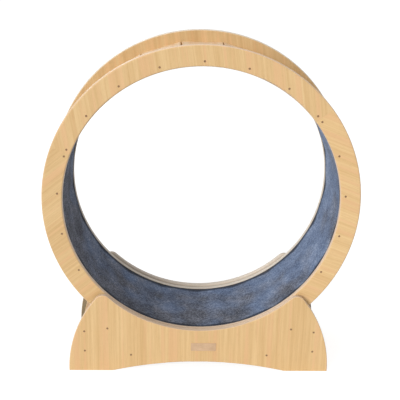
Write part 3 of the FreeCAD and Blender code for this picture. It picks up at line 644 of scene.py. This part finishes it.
def runner_recipe():
    """Sweeps the runner's section round the track."""
    recipe = Recipe("carpet_runner_sweep", RUNNER_INPUTS)
    given, add, calc = recipe.given, recipe.add, recipe.math
    band, spot, along = sweep_section(recipe)
    spot = add("ShaderNodeSeparateXYZ", {0: spot}).outputs
    across, height = spot[0], spot[1]

    half_seam = calc("DIVIDE", given["Half Seam"], given["Outer Apothem"])
    whole_turn = calc("SUBTRACT", 2 * math.pi, calc("MULTIPLY", half_seam, 2.0))
    angle = calc("MULTIPLY_ADD", along, whole_turn, calc("ADD", given["Seam Angle"], half_seam))
    backing, pile = track_radii(recipe, angle)
    relief = pile_relief(recipe, angle, across, along)

    share = calc("POWER", calc("DIVIDE", height, given["Thickness"]), 2.0)
    radius = calc("MULTIPLY_ADD", calc("SUBTRACT", pile, backing), share, backing)
    radius = calc("SUBTRACT", radius, calc("MULTIPLY_ADD", relief, share, height))
    x = calc("MULTIPLY", radius, calc("SINE", angle))
    z = calc("MULTIPLY", radius, calc("COSINE", angle))
    round_axle = add("ShaderNodeCombineXYZ", {0: x, 1: across, 2: z}).outputs[0]
    inputs = {0: round_axle, 1: given["Axle"]}
    position = add("ShaderNodeVectorMath", inputs, operation="ADD").outputs[0]
    band = add("GeometryNodeSetPosition", {"Geometry": band, "Position": position}).outputs[0]
    band = add("GeometryNodeSetShadeSmooth", {"Geometry": band}).outputs[0]
    band = add("GeometryNodeRealizeInstances", {"Geometry": band}).outputs[0]
    band = add("GeometryNodeSetMaterial", {"Geometry": band, "Material": given["Felt"]}).outputs[0]
    recipe.tree.links.new(band, recipe.result)
    return recipe


def build_runner(material):
    """The carpet runner glued round the track, its ends butted at the seam."""
    outer, inner = runner_apothems()
    corners = [(place, height, 0.0) for place, height in runner_section(outer - inner)]
    loop = [(index, (index + 1) % len(corners)) for index in range(len(corners))]
    mesh = bpy.data.meshes.new("carpet_runner_pile")
    mesh.from_pydata(corners, loop, [])
    piece = bpy.data.objects.new("carpet_runner_pile", mesh)
    bpy.context.scene.collection.objects.link(piece)
    values = {
        "Flats": len(PLANKS),
        "Steps": STEPS_PER_PLANK * len(PLANKS),
        "Outer Apothem": outer,
        "Thickness": outer - inner,
        "Corner Rounding": CORNER_ROUNDING,
        "Edge Radius": EDGE_RADIUS,
        "Seam Angle": SEAM_ANGLE,
        "Half Seam": SEAM_HALF,
        "Pile Grain": PILE_GRAIN,
        "Pile Waves": PILE_WAVES,
        "Seed": RUNNER_SEED,
        "Axle": tuple(AXLE),
        "Felt": material,
    }
    runner_recipe().apply(piece, values)
    turn_outwards(piece)
    return piece


def turn_outwards(piece):
    work = bmesh.new()
    work.from_mesh(piece.data)
    bmesh.ops.recalc_face_normals(work, faces=work.faces)
    work.to_mesh(piece.data)
    work.free()


def lay_carpet():
    runner = build_runner(carpet_felt())
    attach(runner, "wheel")
    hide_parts("carpet_runner")


# ------------------------------------------------------------------------ studio

WORLD_LIGHT = 0.38
FLOOR_BOUNCE = 0.80  # what the object gets back from the floor
FLOOR_SHADED, FLOOR_GLOW = 0.42, 0.84  # what the camera sees: white but for the object's shadow
FLOOR_REACH = 14
LIT_SPOT = Vector((0, 0, 0.55))
KEY_PLACE, KEY_STRENGTH, KEY_SPREAD = (-3.6, -4.5, 2.4), 1.92, math.radians(26)
SOFTBOXES = (  # name, place, side of the square, power
    ("fill", (2.2, -3.6, 1.3), 2.0, 11),
    ("top", (-0.3, -0.3, 3.3), 2.4, 14),
    ("back", (-1.6, 3.6, 2.0), 2.0, 26),
)

CAMERA_AIM = Vector((0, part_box("front_ring_upper_arc")[0].y, AXLE.z))  # middle of the front ring's face
CAMERA_DISTANCE = 2.5764
CAMERA_RISE = math.radians(20.16)
CAMERA_SIDE = math.radians(-1.80)
CAMERA_ROLL = math.radians(1.20)
CAMERA_SENSOR, CAMERA_LENS = 36, 74.13
FRAME_SHIFT = (-0.00473, 0.01327)


def white_to(tree):
    """1 for the rays that see the white surround: from the camera, mirrored or let through."""
    path = tree.nodes.new("ShaderNodeLightPath")
    seen = path.outputs["Is Camera Ray"]
    for kind in ("Is Glossy Ray", "Is Transmission Ray"):
        either = tree.nodes.new("ShaderNodeMath")
        either.operation = "MAXIMUM"
        tree.links.new(seen, either.inputs[0])
        tree.links.new(path.outputs[kind], either.inputs[1])
        seen = either.outputs[0]
    return seen


def diffuse(tree, grey):
    node = tree.nodes.new("ShaderNodeBsdfDiffuse")
    node.inputs["Color"].default_value = (grey, grey, grey, 1)
    return node


def floor_material():
    """Pale to the light that it gives back, white to the camera and to shiny metal."""
    material = bpy.data.materials.new("studio_floor")
    material.use_nodes = True
    tree = material.node_tree
    tree.nodes.remove(tree.nodes["Principled BSDF"])
    bounce, shaded_part = diffuse(tree, FLOOR_BOUNCE), diffuse(tree, FLOOR_SHADED)
    glow = tree.nodes.new("ShaderNodeEmission")
    glow.inputs["Strength"].default_value = FLOOR_GLOW
    seen = tree.nodes.new("ShaderNodeAddShader")
    tree.links.new(shaded_part.outputs[0], seen.inputs[0])
    tree.links.new(glow.outputs[0], seen.inputs[1])
    choice = tree.nodes.new("ShaderNodeMixShader")
    tree.links.new(white_to(tree), choice.inputs[0])
    tree.links.new(bounce.outputs[0], choice.inputs[1])
    tree.links.new(seen.outputs[0], choice.inputs[2])
    tree.links.new(choice.outputs[0], tree.nodes["Material Output"].inputs["Surface"])
    return material


def build_floor():
    mesh = bpy.data.meshes.new("studio_floor")
    corners = [(x * FLOOR_REACH, y * FLOOR_REACH, 0) for x, y in ((-1, -1), (1, -1), (1, 1), (-1, 1))]
    mesh.from_pydata(corners, [], [(0, 1, 2, 3)])
    mesh.materials.append(floor_material())
    floor = bpy.data.objects.new("studio_floor", mesh)
    bpy.context.scene.collection.objects.link(floor)


def build_world():
    world = bpy.data.worlds.new("studio")
    world.use_nodes = True
    tree = world.node_tree
    background = tree.nodes["Background"]
    strength = tree.nodes.new("ShaderNodeMix")
    strength.inputs[2].default_value = WORLD_LIGHT
    strength.inputs[3].default_value = 1.0
    tree.links.new(white_to(tree), strength.inputs[0])
    tree.links.new(strength.outputs[0], background.inputs["Strength"])
    background.inputs["Color"].default_value = (1, 1, 1, 1)
    bpy.context.scene.world = world


def add_light(name, kind, place, energy):
    """A lamp that looks at the lit spot."""
    lamp = bpy.data.lights.new(name, kind)
    lamp.energy = energy
    light = bpy.data.objects.new(name, lamp)
    light.location = place
    light.rotation_euler = (LIT_SPOT - Vector(place)).to_track_quat("-Z", "Y").to_euler()
    bpy.context.scene.collection.objects.link(light)
    return lamp


def build_lights():
    """Soft parallel light from the front left, and three softboxes close by."""
    add_light("key", "SUN", KEY_PLACE, KEY_STRENGTH).angle = KEY_SPREAD
    for name, place, side, power in SOFTBOXES:
        add_light(name, "AREA", place, power).size = side


def build_camera():
    data = bpy.data.cameras.new("photo_view")
    data.sensor_width = CAMERA_SENSOR
    data.lens = CAMERA_LENS
    data.shift_x, data.shift_y = FRAME_SHIFT
    camera = bpy.data.objects.new("photo_view", data)
    level = math.cos(CAMERA_RISE)
    sideways, forwards = math.sin(CAMERA_SIDE) * level, math.cos(CAMERA_SIDE) * level
    back = Vector((sideways, -forwards, math.sin(CAMERA_RISE)))
    camera.location = CAMERA_AIM + back * CAMERA_DISTANCE
    look = (-back).to_track_quat("-Z", "Y").to_matrix()
    camera.rotation_euler = (look @ Matrix.Rotation(CAMERA_ROLL, 3, "Z")).to_euler()
    bpy.context.scene.collection.objects.link(camera)
    bpy.context.scene.camera = camera


bpy.context.scene.view_settings.view_transform = "Standard"
finish_rings()
finish_base()
finish_planks()
finish_hardware()
lay_carpet()
build_floor()
build_world()
build_lights()
build_camera()
